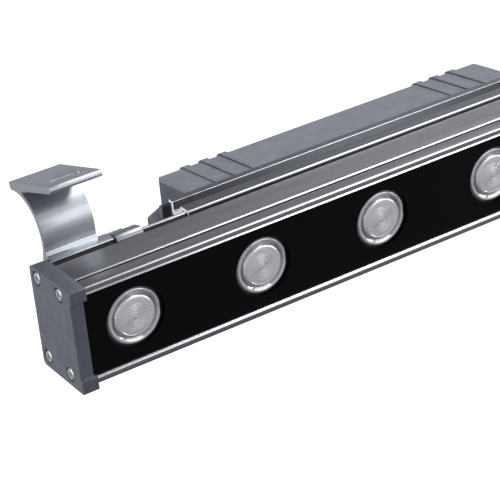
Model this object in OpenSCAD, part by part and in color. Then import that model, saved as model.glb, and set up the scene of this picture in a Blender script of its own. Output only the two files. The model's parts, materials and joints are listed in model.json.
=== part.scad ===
// Linear outdoor wall washer light: a hinged lamp on two wall brackets, with its driver behind it.
// The brackets' mounting faces lie on Z = 0, and the lamp hangs below them on its round bead.

/* [Lamp] */
// Height of an end cap
cap_h = 63.7; // [62:0.1:80]
// Depth of an end cap, front to rear
cap_depth = 46; // [46:0.1:60]
// Thickness of an end cap
cap_t = 10; // [8:0.1:14]
// How far the caps reach below the extrusion
cap_drop = 3.9; // [3:0.1:5]
// How far the lamp is tilted forward from its brackets
tilt = 16.2; // [-3:0.1:36]

/* [Extrusion] */
// Thickness of the top and bottom slabs, which end in the front lips
slab_t = 4.4; // [4:0.1:5.5]
// Distance from the lamp's front to the wall that carries the board
platform_y = 20; // [19:0.1:21]
// Thickness of the wall that carries the board
platform_t = 4; // [3:0.1:6]
// Thickness of the rear wall
rear_wall_t = 3; // [2.4:0.1:3]
// Height of the cooling fins on the rear wall
fin_h = 2.6; // [1.5:0.1:2.8]
// Thickness of a cooling fin
fin_t = 1.5; // [1:0.1:2]
// Spacing of the cooling fins
fin_pitch = 5.2; // [4:0.1:8]
// Distance from the lamp's front to the top groove
groove_y = 9.5; // [8:0.1:10]
// Width of the top groove
groove_w = 2.2; // [1.5:0.1:2.6]
// Depth of the top groove
groove_d = 2.6; // [1.5:0.1:3]
// Radius of the top groove's rear edge
groove_edge_r = 1.2; // [0.4:0.1:1.4]
// Radius of the screw ports
port_r = 1.65; // [1.5:0.05:1.7]
// Wall round a screw port
port_wall = 0.85; // [0.7:0.05:0.9]

/* [Hinge] */
// Radius of the round bead that the brackets hold
bead_r = 2.74; // [2.7:0.01:2.9]
// Distance from the bead's centre to the cap's rear
bead_from_rear = 6.6; // [6.4:0.1:6.8]
// Running clearance between a bracket and the bead
hinge_clear = 0.06; // [0.03:0.01:0.1]
// Width of the groove in front of the bead
bead_groove_w = 2.8; // [2.7:0.1:3.2]
// Depth of the shelf behind the bead, below the top
shelf_drop = 7.9; // [7.8:0.1:8.4]

/* [Front panel and lenses] */
// Number of lenses
lens_count = 6; // [6:1:9]
// Spacing of the lenses
lens_pitch = 84.5; // [82:0.1:95]
// Distance from an end of the lamp to its nearest lens
lens_end = 38.75; // [36:0.05:60]
// Radius of an opening in the panel
window_r = 18.5; // [18.2:0.1:19]
// Depth of the panel behind the lips
panel_inset = 1.9; // [1.6:0.1:2.4]
// Thickness of the front panel
panel_t = 2.4; // [2:0.1:3]
// Radius of a lens over its rim
lens_r = 17.5; // [17:0.1:17.6]
// Distance from a lens's centre to the flat on its rim
lens_flat = 15.8; // [15:0.1:16.5]
// Radius of the raised disc on a lens
lens_disc_r = 13.7; // [10:0.1:14.5]
// Thickness of a lens's rim
lens_rim_t = 1.8; // [1.4:0.1:2.4]
// Radius of a lens holder
holder_r = 19.2; // [19:0.1:19.6]
// Width of the circuit board
board_w = 40; // [39:0.1:42]
// Thickness of the circuit board
board_t = 1.6; // [1:0.1:2]

/* [Brackets] */
// Width of a bracket's plate and arm
bracket_w = 32.4; // [26:0.1:40]
// Gap between a bracket and its end cap
bracket_gap = 0.8; // [0.5:0.1:6]
// Length of a plate from its front edge to its rear edge
plate_len = 53.5; // [50:0.1:60]
// Thickness of a plate at its front
plate_t = 4; // [3:0.1:4.4]
// Thickness of a plate at its rear
plate_rear_t = 4.8; // [4.5:0.1:6]
// Distance from a plate's front edge to its slot
slot_from_front = 12.6; // [8:0.1:16]
// Length of a slot, end to end
slot_len = 19; // [12:0.1:24]
// Half the width of a slot
slot_r = 2.7; // [2:0.1:3.5]
// Radius of an arm's rear skin
arm_r = 24; // [22:0.1:27]
// Thickness of an arm
arm_t = 2.8; // [2.5:0.1:3.4]
// Drop from the mounting face to the hinge's centre
hinge_drop = 47.1; // [46.5:0.1:47.6]
// Distance from the slot back to the hinge's centre
hinge_back = 12.1; // [11.6:0.1:12.6]
// Width of a clamp
clamp_w = 17.1; // [14:0.1:22]

/* [Driver] */
// Length of the driver's cover
driver_len = 247.5; // [200:0.5:300]
// Depth of the driver's cover at its top
driver_depth = 45.7; // [44:0.1:60]
// Height of the cover at its front
cover_h = 24.8; // [24:0.1:34]
// Height of the driver's base
base_h = 7; // [6:0.1:12]
// Distance from the rail's left end to the driver's cover
driver_from_rail = 13.8; // [12:0.1:25]
// Slope of the driver's top, falling to the rear
driver_slope = 5.87; // [0:0.01:8]
// Wall of the driver's cover
cover_wall = 2; // [1.6:0.1:3]
// Radius of the driver's rear corners, seen from above
cover_corner_r = 13; // [6:0.1:16]
// Radius of the cover's top edges
cover_edge_r = 4.2; // [2:0.1:5]
// Length of the ears on the base
ear_len = 10; // [9:0.1:16]
// Width of an ear
ear_w = 9.3; // [8:0.1:14]
// Height of the ridges on the cover
ridge_h = 1; // [0.5:0.1:2]
// Width of a ridge
ridge_w = 4.8; // [3:0.1:6]
// Spacing of the ridges
ridge_pitch = 13.3; // [8:0.1:16]

/* [Driver rail] */
// Length of the rail
rail_len = 305; // [285:1:315]
// Thickness of the rail
rail_t = 1.9; // [1.6:0.1:2.1]
// Distance from the hinge's centre back to the rail's web
rail_reach = 12.7; // [11:0.1:14]

/* [Hidden] */
eps = 0.05;
over = 1;
seat_gap = 0.1;
arc_steps = 8;
round_fn = 48;
lens_fn = 72;

lens_names = [for (i = [1:lens_count]) str("lens_", i)];

// Extrusion, in the lamp's own frame: Y back from the lamp's front, Z up from the caps' foot
lamp_len = (lens_count - 1) * lens_pitch + 2 * lens_end;
body_top = cap_h;
body_foot = cap_drop;
roof_z = body_top - slab_t;
floor_z = body_foot + slab_t;
bead_y = cap_depth - bead_from_rear;
bead_z = body_top - bead_r;
bead_groove_y = bead_y - bead_r - bead_groove_w;
shelf_z = body_top - shelf_drop;
shelf_t = 3;
groove_wall_t = 3;
rear_y = cap_depth - fin_h - seat_gap;
fin_top_gap = 2.4;
port_boss_r = port_r + port_wall;
port_top_drop = 6.4;
port_foot_rise = 7.3;
port_front_y = 13.8;
port_from_rear = 7.3;
port_rear_y = cap_depth - port_from_rear;
port_spots = [
    [port_front_y, cap_h - port_top_drop], [port_rear_y, cap_h - port_top_drop],
    [port_front_y, port_foot_rise], [port_rear_y, port_foot_rise]];
lip_edge_r = 1.2;
lip_foot_r = 0.8;
lip_recess = 0.8;
toe_slope = 0.6;
toe_h = 0.4;
fine_r = 0.3;

// Front panel, gasket and board
gasket_t = 0.6;
ledge_t = 2;
ledge_h = 2;
panel_back = panel_inset + panel_t;
ledge_y = panel_back + gasket_t;
panel_gap = 0.15;
panel_end = 1.7;
mid_z = (roof_z + floor_z) / 2;
board_front = platform_y - board_t;
board_end_gap = 5;
wire_hole_r = 3;
wire_drop = 14;

// Lenses along the lamp
function lens_x(i) = lamp_len / 2 + (i - (lens_count + 1) / 2) * lens_pitch;
lens_set = 1.1;
lens_h = board_front - panel_inset - lens_set;
lens_lift = 0.6;
lens_disc_rise = 0.9;
lens_neck_r = 6.5;
lens_bulge_r = 12.6;
lens_flank_r = 15.9;
led_pocket_r = 3.4;
led_pocket_h = 4.6;
led_w = 3.4;
led_base_h = 0.9;
led_dome_r = 1.5;
holder_wall = 1.3;
holder_floor_t = 1.2;
holder_hole_r = 7.2;
holder_ledge_h = 1.4;
holder_clear = 0.3;

// End caps
cap_notch_y = 1.5;
cap_lip_top = 8;
cap_lip_foot = 8.7;
cap_front_r = 0.7;
cap_rear_r = 3;
cap_pocket_d = 1.8;
cap_gasket_t = 0.8;
cap_gasket_inset = 1.4;
cap_window_inset = 7;
head_r = 4.15;
head_h = 2.3;
head_sink_r = 4.6;
head_sink_d = 2.4;
shank_r = 1.55;
shank_hole_r = 2.2;
cap_screw_len = 18;
drive_r = 1.5;
drive_d = 1.3;

// Bracket, with its slot at the origin and its hinge below and behind it
bracket_x = cap_t + bracket_gap;
hinge = [hinge_back, -hinge_drop];
plate_front = -slot_from_front;
plate_rear = plate_len - slot_from_front;
jaw_r = bead_r + hinge_clear;

// Arm: its front skin passes the foot's ridge and runs on into the foot, wherever the hinge is
arm_skin_r = arm_r + arm_t;
arm_c_z = -plate_rear_t - arm_r;
arm_pass = [4.485, 7.7];
arm_end_z = 2.55;
arm_c = [
    hinge[0] + arm_pass[0] + sqrt(pow(arm_skin_r, 2) - pow(hinge[1] + arm_pass[1] - arm_c_z, 2)), arm_c_z];
arm_top_angle = 92;
arm_foot_angle = 180 + asin((arm_c_z - hinge[1] - arm_end_z) / arm_skin_r);
arm_sectors = 3;
crotch_r = 1;
plate_edge_r = 0.8;
plate_brow_share = 0.6;
plate_nose_share = 0.375;
plate_brow_r = plate_t * plate_brow_share;
plate_nose_r = plate_t * plate_nose_share;

// Foot, in Y and Z from the hinge's centre: it carries a ridge under the arm and a flat top beside it
foot_len = 39.4;
foot_top = 4.8;
foot_top_rear = 8.6;
foot_rear = 10.4;
foot_rear_z = 3.9;
foot_lean = 0.9;
foot_nose_r = 1.3;
foot_under = 1.5;
jaw_wall = 2.4;
rear_jaw_angle = -16;
tongue_len = 50.2;
tongue_wall = 2;

// Clamp, in Y and Z from the hinge's centre: a flat top that falls to the rear, and one large brow in front
clamp_from_foot = 0.2;
clamp_under = 1.3;
clamp_rear = 8.1;
clamp_rear_z = 3.9;
clamp_top_rear = 5.2;
clamp_top = 4.8;
clamp_front = 5.1;
clamp_brow_r = 3.8;
clamp_lip_y = 4.5;
clamp_lip_drop = 2.07;
clamp_screw_y = 6.3;
clamp_screw_x = (foot_len + clamp_from_foot + tongue_len) / 2;
clamp_hole_z = 3.5;
clamp_head_r = 2.5;
clamp_head_h = 1.3;
clamp_head_z = -0.3;
clamp_shank_r = 1.5;

// Driver and rail
rail_x = (lamp_len - rail_len) / 2;
driver_x = rail_x + driver_from_rail;
rail_lip_t = 1.4;
rail_lip_drop = 2.7;
rail_leg_t = 1.7;
rail_tip_len = 5.1;
rail_tip_t = 1.7;
rail_tip_r = 0.4;
rail_hook_r = 1;
rail_bend_r = 1.6;
web_foot_drop = 4.2;
web_y = bead_y + rail_reach;
web_t = 2.1;
driver_y = web_y + web_t + seat_gap;
flange_fall = 0.3;
flange_z = bead_z + bead_r + hinge_clear + rail_t - flange_fall;
cover_top = flange_z - rail_tip_t - seat_gap;
cover_foot = cover_top - cover_h;
seal_t = 0.8;
seal_inset = 0.5;
base_top = cover_foot - seal_t;
base_foot = base_top - base_h;
rear_draft = 1.6;
front_corner_r = 3;
cover_front_r = 1.6;
base_wall = 2.5;
ear_rear_in = 8;
ear_round = 2;
ear_root_r = 1;
ridge_first = 20;
ridge_count = 3;
ridge_clear = 0.4;
boss_r = 3.4;
boss_inset = 9;
boss_hole_h = 12;
driver_shank_r = 1.4;
driver_head_r = 2.9;
driver_head_h = 2.2;
post_r = 2.4;

// Flat strain relief on each end of the cover, in line with the front of the ear below it
gland_len = 5;
gland_h = 9;
gland_w = 3.6;
gland_step = 0.4;
gland_plates = 3;
gland_plate_share = 0.68;
gland_bore_r = 0.9;
gland_end_t = 1.3;
ear_rear = driver_y + driver_depth + rear_draft - ear_rear_in;
ear_front = ear_rear - ear_w;
ear_slant = 1.7;
gland_y = ear_front - ear_slant + gland_w / 2;
gland_z = cover_foot + gland_h / 2 + seat_gap;
pcb_t = 1.6;
pcb_gap = 2.5;
pcb_end_gap = 16;
rail_screw_drop = 6.6;
rail_screw_z = flange_z - rail_screw_drop;
rail_shank_r = 1.25;
rail_head_r = 2;
rail_head_h = 1.6;

// Feed gland on the rear of the housing
feed_z = (floor_z + base_foot) / 2;
feed_pad_r = 9;
feed_thread_r = 5.9;
feed_hole_r = feed_thread_r + seat_gap;
feed_hex_r = 8.4;
feed_hex_h = 4.5;
feed_dome_r = 7;
feed_dome_h = 7.5;
feed_mouth_r = 4.6;
feed_bore_r = 2.8;
feed_nut_t = 3;

function unit(v) = v / norm(v);

// One corner b between a and c, rounded by r
function corner(a, b, c, r) = r == 0 ? [b] :
    let (u = unit(a - b), v = unit(c - b), half = acos(u * v) / 2,
        mid = b + unit(u + v) * r / sin(half),
        p = b + u * r / tan(half) - mid,
        q = b + v * r / tan(half) - mid,
        from = atan2(p[1], p[0]),
        turn = (atan2(q[1], q[0]) - from + 540) % 360 - 180)
    [for (i = [0:arc_steps]) mid + r * [cos(from + turn * i / arc_steps), sin(from + turn * i / arc_steps)]];

function xy(p) = [p[0], p[1]];

// Corners written as [x, y, radius], turned into an outline
function rounded(pts) = let (n = len(pts))
    [for (i = [0:n - 1]) each corner(xy(pts[(i + n - 1) % n]), xy(pts[i]), xy(pts[(i + 1) % n]), pts[i][2])];

// A profile in Y and Z, extruded along X
module along_x(x, length) {
    translate([x, 0, 0]) rotate([90, 0, 90]) linear_extrude(length) children();
}

// A shape drawn along +Z, turned to point forward from a place on the lamp
module facing_front(x, y, z) {
    translate([x, y, z]) rotate([90, 0, 0]) children();
}

module facing_rear(x, y, z) {
    translate([x, y, z]) rotate([-90, 0, 0]) children();
}

module facing_left(x, y, z) {
    translate([x, y, z]) rotate([0, -90, 0]) children();
}

// The right-hand copy of a piece of the lamp
module right_hand() {
    translate([lamp_len, 0, 0]) mirror([1, 0, 0]) children();
}

// The lamp's frame, hung on the hinge and tilted
module in_lamp() {
    translate([-lamp_len / 2, hinge[0], hinge[1]]) rotate([tilt, 0, 0])
        translate([0, -bead_y, -bead_z]) children();
}

// A bracket's frame, at the left end of the lamp
module at_left() {
    translate([-lamp_len / 2 + bracket_x, 0, 0]) children();
}

module at_right() {
    mirror([1, 0, 0]) at_left() children();
}

// Bead and rear screw port, standing on the shelf
module bead_profile() {
    translate([bead_y, bead_z]) circle(bead_r, $fn = lens_fn);
    translate(port_spots[1]) circle(port_boss_r, $fn = round_fn);
}

module fins_profile() {
    fin_zone = shelf_z - fin_top_gap - fin_t - floor_z;
    fin_count = floor(fin_zone / fin_pitch);
    for (i = [0:fin_count])
        translate([rear_y - eps, shelf_z - fin_top_gap - fin_t - i * fin_pitch]) square([fin_h + eps, fin_t]);
}

// Top slab with its groove and a toe under its front lip, and bottom slab, rounded down from the panel
module slabs_profile() {
    groove_rear = groove_y + groove_w;
    polygon(rounded([
        [0, roof_z, fine_r], [0, roof_z + toe_h, 0], [lip_recess, roof_z + toe_h + toe_slope, 0],
        [lip_recess, body_top, lip_edge_r], [groove_y, body_top, 0], [groove_y, body_top - groove_d, 0],
        [groove_rear, body_top - groove_d, 0], [groove_rear, body_top, groove_edge_r],
        [bead_groove_y, body_top, fine_r], [bead_groove_y, roof_z, 0]]));
    polygon(rounded([
        [0, floor_z, panel_inset], [rear_y, floor_z, 0], [rear_y, body_foot, lip_foot_r],
        [0, body_foot, lip_foot_r]]));
}

module housing_profile() {
    difference() {
        union() {
            slabs_profile();
            bead_profile();
            fins_profile();
            translate([platform_y, floor_z - eps]) square([platform_t, roof_z - floor_z + 2 * eps]);
            translate([rear_y - rear_wall_t, floor_z - eps]) square([rear_wall_t, shelf_z - floor_z + eps]);
            translate([bead_groove_y - groove_wall_t, shelf_z - shelf_t])
                square([rear_y - bead_groove_y + groove_wall_t, shelf_t]);
            translate([bead_groove_y - groove_wall_t, shelf_z - eps])
                square([groove_wall_t, roof_z - shelf_z + 2 * eps]);
            for (p = port_spots) translate(p) circle(port_boss_r, $fn = round_fn);
            for (z = [roof_z - ledge_h, floor_z - eps])
                translate([ledge_y, z]) square([ledge_t, ledge_h + eps]);
        }
        for (p = port_spots) translate(p) circle(port_r, $fn = round_fn);
    }
}

module housing() color("#7c7f84") in_lamp() difference() {
    union() {
        along_x(cap_t, lamp_len - 2 * cap_t) housing_profile();
        facing_rear(lamp_len / 2, rear_y - eps, feed_z)
            cylinder(fin_h + eps, feed_pad_r, feed_pad_r, $fn = round_fn);
    }
    facing_rear(lamp_len / 2, rear_y - rear_wall_t - over, feed_z)
        cylinder(rear_wall_t + fin_h + 2 * over, feed_hole_r, feed_hole_r, $fn = round_fn);
    facing_rear(lamp_len / 2, platform_y - over, mid_z - wire_drop)
        cylinder(platform_t + 2 * over, wire_hole_r, wire_hole_r, $fn = round_fn);
    for (x = board_screw_spots) facing_rear(x, platform_y - over, mid_z)
        cylinder(platform_t + 2 * over, shank_r, shank_r, $fn = round_fn);
}

module cap_outline() {
    polygon(rounded([
        [0, 0, cap_front_r], [0, cap_lip_foot, cap_front_r], [cap_notch_y, cap_lip_foot, cap_front_r],
        [cap_notch_y, cap_h - cap_lip_top, cap_front_r], [0, cap_h - cap_lip_top, cap_front_r],
        [0, cap_h, cap_front_r], [cap_depth, cap_h, cap_rear_r], [cap_depth, 0, cap_rear_r]]));
}

// Sheet gasket, inside the extrusion's outline and behind the panel
module cap_gasket_outline(grow) {
    depth = bead_groove_y - ledge_y - cap_gasket_inset;
    height = body_top - body_foot - 2 * cap_gasket_inset;
    window_d = depth - 2 * cap_window_inset;
    window_h = roof_z - floor_z - 2 * cap_window_inset;
    difference() {
        translate([ledge_y - grow, body_foot + cap_gasket_inset - grow])
            square([depth + 2 * grow, height + 2 * grow]);
        translate([ledge_y + cap_window_inset + grow, floor_z + cap_window_inset + grow])
            square([window_d - 2 * grow, window_h - 2 * grow]);
        for (i = [0, 2]) translate(port_spots[i]) circle(shank_hole_r - grow, $fn = round_fn);
    }
}

// Pocket for the panel's end, rounded where it meets the lips
module cap_panel_pocket() {
    top = cap_h - cap_lip_top;
    facing_front(0, panel_back + gasket_t, 0) linear_extrude(panel_back + gasket_t + over)
        polygon(rounded([
            [cap_t - cap_pocket_d, cap_lip_foot, cap_pocket_d / 2], [cap_t + over, cap_lip_foot, 0],
            [cap_t + over, top, 0], [cap_t - cap_pocket_d, top, cap_pocket_d / 2]]));
}

module end_cap() {
    difference() {
        along_x(0, cap_t) cap_outline();
        cap_panel_pocket();
        along_x(cap_t - cap_gasket_t, cap_gasket_t + over) cap_gasket_outline(seat_gap);
        for (p = port_spots) translate([0, p[0], p[1]]) rotate([0, 90, 0]) {
            translate([0, 0, -over]) cylinder(head_sink_d + over, head_sink_r, head_sink_r, $fn = round_fn);
            cylinder(cap_t + over, shank_hole_r, shank_hole_r, $fn = round_fn);
        }
    }
}

module left_end_cap() color("#5b6170") in_lamp() end_cap();

module right_end_cap() color("#5b6170") in_lamp() right_hand() end_cap();

module cap_gasket() {
    along_x(cap_t - cap_gasket_t, cap_gasket_t) cap_gasket_outline(0);
}

module left_cap_gasket() color("#202124") in_lamp() cap_gasket();

module right_cap_gasket() color("#202124") in_lamp() right_hand() cap_gasket();

// Pan head with a six-sided recess, the head on top of z = 0 and the shank below it
dome_share = 0.45;
crown_share = 0.78;
module pan_screw(r, h, shank, length, recess) {
    dome = h * dome_share;
    difference() {
        union() {
            cylinder(h - dome, r, r, $fn = round_fn);
            translate([0, 0, h - dome - eps]) cylinder(dome + eps, r, r * crown_share, $fn = round_fn);
            translate([0, 0, -length]) cylinder(length + eps, shank, shank, $fn = round_fn);
        }
        translate([0, 0, h - drive_d * recess / drive_r]) cylinder(h, recess, recess, $fn = 6);
    }
}

module cap_screw_set() {
    for (p = port_spots) translate([head_sink_d, p[0], p[1]]) rotate([0, -90, 0])
        pan_screw(head_r, head_h, shank_r, cap_screw_len, drive_r);
}

module cap_screws() color("#c9ccd0") in_lamp() {
    cap_screw_set();
    right_hand() cap_screw_set();
}

module front_panel() color("#0b0b0d") in_lamp() difference() {
    facing_front(0, panel_back, 0) linear_extrude(panel_t) {
        translate([cap_t + panel_gap, floor_z + panel_gap])
            square([lamp_len - 2 * cap_t - 2 * panel_gap, roof_z - floor_z - 2 * panel_gap]);
        translate([cap_t - panel_end, cap_lip_foot + panel_gap])
            square([lamp_len - 2 * cap_t + 2 * panel_end, cap_h - cap_lip_top - cap_lip_foot - 2 * panel_gap]);
    }
    for (i = [1:lens_count]) facing_front(lens_x(i), panel_back + over, mid_z)
        cylinder(panel_t + 2 * over, window_r, window_r, $fn = lens_fn);
}

module panel_gasket() color("#202124") in_lamp()
    facing_front(0, ledge_y, 0) linear_extrude(gasket_t) difference() {
        translate([cap_t + panel_gap, floor_z + panel_gap])
            square([lamp_len - 2 * cap_t - 2 * panel_gap, roof_z - floor_z - 2 * panel_gap]);
        translate([cap_t + ledge_h, floor_z + ledge_h])
            square([lamp_len - 2 * cap_t - 2 * ledge_h, roof_z - floor_z - 2 * ledge_h]);
    }

// The board is screwed down between each pair of lenses, or at its ends where there is one lens
board_screw_spots = lens_count > 1 ?
    [for (i = [1:lens_count - 1]) (lens_x(i) + lens_x(i + 1)) / 2] :
    [lens_x(1) - holder_r - board_end_gap, lens_x(1) + holder_r + board_end_gap];

module led_board() color("#d9dad6") in_lamp() difference() {
    translate([cap_t + board_end_gap, board_front, mid_z - board_w / 2])
        cube([lamp_len - 2 * cap_t - 2 * board_end_gap, board_t, board_w]);
    facing_rear(lamp_len / 2, board_front - over, mid_z - wire_drop)
        cylinder(board_t + 2 * over, wire_hole_r, wire_hole_r, $fn = round_fn);
    for (x = board_screw_spots) facing_rear(x, board_front - over, mid_z)
        cylinder(board_t + 2 * over, shank_r + seat_gap, shank_r + seat_gap, $fn = round_fn);
}

// One emitter for each lens: a square base with a domed top
module leds() color("#f2e9a8") in_lamp() for (i = [1:lens_count]) facing_front(lens_x(i), board_front, mid_z) {
    translate([-led_w / 2, -led_w / 2, 0]) cube([led_w, led_w, led_base_h]);
    intersection() {
        translate([0, 0, led_base_h]) sphere(led_dome_r, $fn = round_fn);
        translate([-led_w / 2, -led_w / 2, led_base_h - eps]) cube([led_w, led_w, led_dome_r + over]);
    }
}

board_head_r = 2.9;
board_head_h = 1.6;
board_drive_r = 1.2;
module board_screws() color("#c9ccd0") in_lamp() for (x = board_screw_spots)
    facing_front(x, board_front, mid_z)
        pan_screw(board_head_r, board_head_h, shank_r - seat_gap, board_t + platform_t, board_drive_r);

terminal_w = 12;
terminal_d = 7;
terminal_h = 8;
terminal_wire_r = 1.4;
module board_terminal() color("#e7e7e2") in_lamp()
    translate([lamp_len / 2, board_front - terminal_d, mid_z + terminal_h / 2]) difference() {
        translate([-terminal_w / 2, 0, 0]) cube([terminal_w, terminal_d, terminal_h]);
        for (side = [-1, 1]) translate([side * terminal_w / 4, terminal_d / 2, -over])
            cylinder(terminal_h / 2 + over, terminal_wire_r, terminal_wire_r, $fn = round_fn);
    }

// Half section of a lens, from its pocket over the emitter to its stepped front
pocket_crown_share = [0.8, 0.85];
disc_edge_share = 0.7;
module lens_section() {
    rim_foot = lens_h - lens_rim_t;
    bulge = lens_bulge_r - lens_neck_r;
    flare = lens_flank_r - lens_bulge_r;
    polygon([
        [0, led_pocket_h], [led_pocket_r * pocket_crown_share[0], led_pocket_h * pocket_crown_share[1]],
        [led_pocket_r, lens_lift], [lens_neck_r, lens_lift],
        for (share = [0.2:0.2:1]) [lens_neck_r + bulge * sin(90 * share) + flare * share * share,
            lens_lift + (rim_foot - lens_lift) * share],
        [lens_r, rim_foot], [lens_r, lens_h - lens_rim_t / 3], [lens_r - lens_rim_t / 3, lens_h],
        [lens_disc_r + lens_disc_rise, lens_h], [lens_disc_r + lens_disc_rise / 2, lens_h - lens_disc_rise / 3],
        [lens_disc_r, lens_h], [lens_disc_r - lens_disc_rise / 2, lens_h + lens_disc_rise * disc_edge_share],
        [lens_disc_r - 2 * lens_disc_rise, lens_h + lens_disc_rise], [0, lens_h + lens_disc_rise]]);
}

module lens(i) color([0.85, 0.87, 0.9, 0.6]) in_lamp()
    facing_front(lens_x(i), board_front, mid_z) difference() {
        rotate_extrude($fn = lens_fn) lens_section();
        translate([lens_flat, -lens_r, 0]) cube([lens_r, 2 * lens_r, lens_h + over]);
    }

// Cup round each lens, with a ledge under the rim
module lens_holders() color("#141416") in_lamp() for (i = [1:lens_count])
    facing_front(lens_x(i), board_front, mid_z) rotate_extrude($fn = lens_fn) {
        rim_foot = lens_h - lens_rim_t;
        inner_r = holder_r - holder_wall;
        polygon([
            [holder_hole_r, 0], [holder_r, 0], [holder_r, board_front - panel_back],
            [inner_r, board_front - panel_back], [inner_r, rim_foot], [lens_flank_r + holder_clear, rim_foot],
            [lens_flank_r + holder_clear, rim_foot - holder_ledge_h], [inner_r, rim_foot - 2 * holder_ledge_h],
            [inner_r, holder_floor_t], [holder_hole_r, holder_floor_t]]);
    }

// Gland for the lamp's feed, on its pad on the rear
module feed_gland() color("#2b2d31") in_lamp() facing_rear(lamp_len / 2, rear_y + fin_h, feed_z) difference() {
    union() {
        cylinder(feed_hex_h, feed_hex_r, feed_hex_r, $fn = 6);
        translate([0, 0, feed_hex_h - eps])
            cylinder(feed_dome_h + eps, feed_dome_r, feed_mouth_r, $fn = round_fn);
        translate([0, 0, -rear_wall_t - fin_h - feed_nut_t])
            cylinder(rear_wall_t + fin_h + feed_nut_t + eps, feed_thread_r, feed_thread_r, $fn = round_fn);
    }
    inner_len = rear_wall_t + fin_h + feed_nut_t;
    translate([0, 0, -inner_len - over])
        cylinder(inner_len + feed_hex_h + feed_dome_h + 2 * over, feed_bore_r, feed_bore_r, $fn = round_fn);
}

module feed_gland_nut() color("#2b2d31") in_lamp()
    facing_rear(lamp_len / 2, rear_y - rear_wall_t - feed_nut_t + seat_gap, feed_z) difference() {
        cylinder(feed_nut_t - seat_gap, feed_hex_r, feed_hex_r, $fn = 6);
        translate([0, 0, -over])
            cylinder(feed_nut_t + 2 * over, feed_thread_r + eps, feed_thread_r + eps, $fn = round_fn);
    }

// Rail that hooks over the bead and holds the driver by its front edge
module rail_profile() {
    hook = bead_r + hinge_clear;
    front = bead_y - hook - rail_lip_t;
    leg = bead_y + hook + rail_leg_t;
    under = bead_z + hook;
    top = under + rail_t;
    web_foot = bead_z - web_foot_drop;
    polygon(rounded([
        [front, bead_z, rail_tip_r], [front, top, rail_hook_r], [leg, top, fine_r],
        [leg, bead_z + rail_lip_drop, rail_tip_r], [web_y, web_foot + rail_t, rail_hook_r],
        [web_y, flange_z, fine_r], [web_y + rail_tip_len, flange_z, rail_tip_r],
        [web_y + rail_tip_len, flange_z - rail_tip_t, rail_tip_r], [web_y + web_t, flange_z - rail_tip_t, 0],
        [web_y + web_t, web_foot, rail_bend_r], [web_y, web_foot, 0],
        [bead_y + hook, bead_z + rail_lip_drop / 2, fine_r], [bead_y + hook, under, 0],
        [bead_y - hook, under, 0], [bead_y - hook, bead_z, rail_tip_r]]));
}

rail_screw_shares = [0.16, 0.5, 0.84];
rail_screw_spots = [for (share = rail_screw_shares) driver_x + driver_len * share];

module driver_rail() color("#8d9095") in_lamp() difference() {
    along_x(rail_x, rail_len) rail_profile();
    for (x = rail_screw_spots) facing_rear(x, web_y + eps, rail_screw_z)
        cylinder(web_t + over, rail_shank_r, rail_shank_r, $fn = round_fn);
}

module rail_screws() color("#c9ccd0") in_lamp() for (x = rail_screw_spots)
    facing_rear(x, driver_y + cover_wall, rail_screw_z)
        pan_screw(rail_head_r, rail_head_h, rail_shank_r - eps, cover_wall + web_t, rail_head_r / 2);

// Height of the sloping top over a place behind the driver's front
function slope_top(y) = cover_top - y * tan(driver_slope);

// Radius of an edge that has grown or shrunk with its wall
function round_by(r, grow) = max(r + grow, 0);

// The cover's block, grown or shrunk all round by one amount, made of its three outlines;
// the one seen from the front runs back along the sloping top
module cover_block(grow, foot) {
    side = rounded([
        [driver_y - grow, foot, 0], [driver_y - grow, slope_top(0) + grow, round_by(cover_front_r, grow)],
        [driver_y + driver_depth + grow, slope_top(driver_depth) + grow, round_by(cover_edge_r, grow)],
        [driver_y + driver_depth + rear_draft + grow, foot, 0]]);
    corner_r = cover_corner_r + grow;
    plan = rounded([
        [driver_x - grow, driver_y - grow, round_by(front_corner_r, grow)],
        [driver_x + driver_len + grow, driver_y - grow, round_by(front_corner_r, grow)],
        [driver_x + driver_len + grow, driver_y + driver_depth + rear_draft + grow, corner_r],
        [driver_x - grow, driver_y + driver_depth + rear_draft + grow, corner_r]]);
    ends = rounded([
        [driver_x - grow, foot - cover_top - over, 0],
        [driver_x - grow, grow + eps, round_by(cover_edge_r, grow)],
        [driver_x + driver_len + grow, grow + eps, round_by(cover_edge_r, grow)],
        [driver_x + driver_len + grow, foot - cover_top - over, 0]]);
    rise = cover_top - foot + 2 * over;
    run = driver_depth + cover_h;
    intersection() {
        along_x(driver_x - over, driver_len + 2 * over) polygon(side);
        translate([0, 0, foot - over]) linear_extrude(rise + over) polygon(plan);
        translate([0, driver_y, cover_top]) rotate([-driver_slope, 0, 0])
            facing_front(0, run, 0) linear_extrude(run + 2 * over) polygon(ends);
    }
}

boss_spots = [
    for (x = [driver_x + boss_inset, driver_x + driver_len - boss_inset],
        y = [driver_y + boss_inset, driver_y + driver_depth - boss_inset]) [x, y]];

// Ridges across the cover near each end, clear of the rail's flange
module cover_ridges() {
    clear_y = web_y + rail_tip_len + ridge_clear;
    intersection() {
        cover_block(ridge_h, cover_foot + cover_h / 4);
        for (i = [0:ridge_count - 1], side = [0, 1]) {
            from_end = ridge_first + i * ridge_pitch;
            x = side == 0 ? driver_x + from_end : driver_x + driver_len - from_end - ridge_w;
            translate([x, clear_y, cover_foot])
                cube([ridge_w, driver_depth + rear_draft + over, cover_h + 2 * over]);
        }
    }
}

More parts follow.
